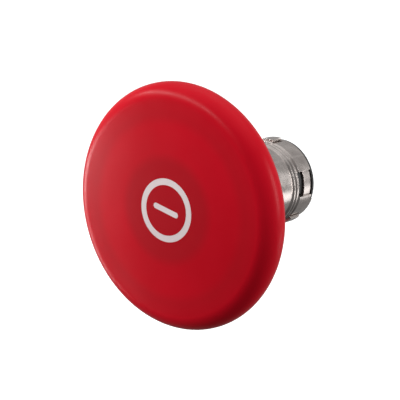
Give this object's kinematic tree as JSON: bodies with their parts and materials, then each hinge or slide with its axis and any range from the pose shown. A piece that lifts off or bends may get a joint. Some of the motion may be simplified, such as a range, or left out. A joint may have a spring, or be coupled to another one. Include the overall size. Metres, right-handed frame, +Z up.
{
  "type": "mushroom push-button head",
  "caption": "Spring-return mushroom push-button head with a large red palm cap and a metal barrel that fits a standard 22 mm panel hole.",
  "frame": {"origin": "on the button's axis, in the plane of the panel's front surface, where the gasket seats", "axes": "+Y along the button's axis to the rear, through the panel; the cap faces -Y; +Z up and +X to the right as seen from the front"},
  "size_m": [0.06, 0.0448, 0.06],
  "materials": {
    "red_plastic": "satin moulded red plastic",
    "white_plastic": "satin white inlay",
    "black_plastic": "satin moulded black plastic",
    "grey_plastic": "satin moulded grey plastic",
    "acetal": "low-friction natural plastic",
    "plated_zinc": "satin chromium plating on die-cast zinc",
    "steel": "bright zinc-plated steel",
    "spring_steel": "drawn stainless spring wire",
    "bronze": "plain sintered bronze",
    "rubber": "matt nitrile rubber"
  },
  "bodies": {
    "housing": {"bezel_body": "plated_zinc", "guide_sleeve": "black_plastic", "front_bush": "acetal", "wiper_seal": "rubber", "seal_retainer": "steel", "panel_gasket": "rubber", "return_spring": "spring_steel"},
    "plunger": {"plunger": "grey_plastic", "thrust_washer": "steel", "nose_clip": "spring_steel", "plunger_oring": "rubber", "spring_seat": "steel", "retaining_clip": "spring_steel", "actuator_plate": "black_plastic", "plate_screw": "steel", "lock_washer": "steel"},
    "cap": {"mushroom_cap": "red_plastic", "symbol_ring": "white_plastic", "symbol_bar": "white_plastic", "cap_carrier": "black_plastic", "carrier_screws": "steel", "swivel_bush": "bronze"}
  },
  "joints": [
    {"name": "head_push", "type": "slide", "parent": "housing", "child": "plunger", "axis": [0, 1, 0], "range_m": [0, 0.0043], "stiffness_N_per_m": 990, "springref_m": -0.006, "deforming": ["return_spring"]},
    {"name": "cap_turn", "type": "hinge", "parent": "plunger", "child": "cap", "pos_m": [0, -0.0185, 0], "axis": [0, 1, 0], "continuous": true}
  ]
}
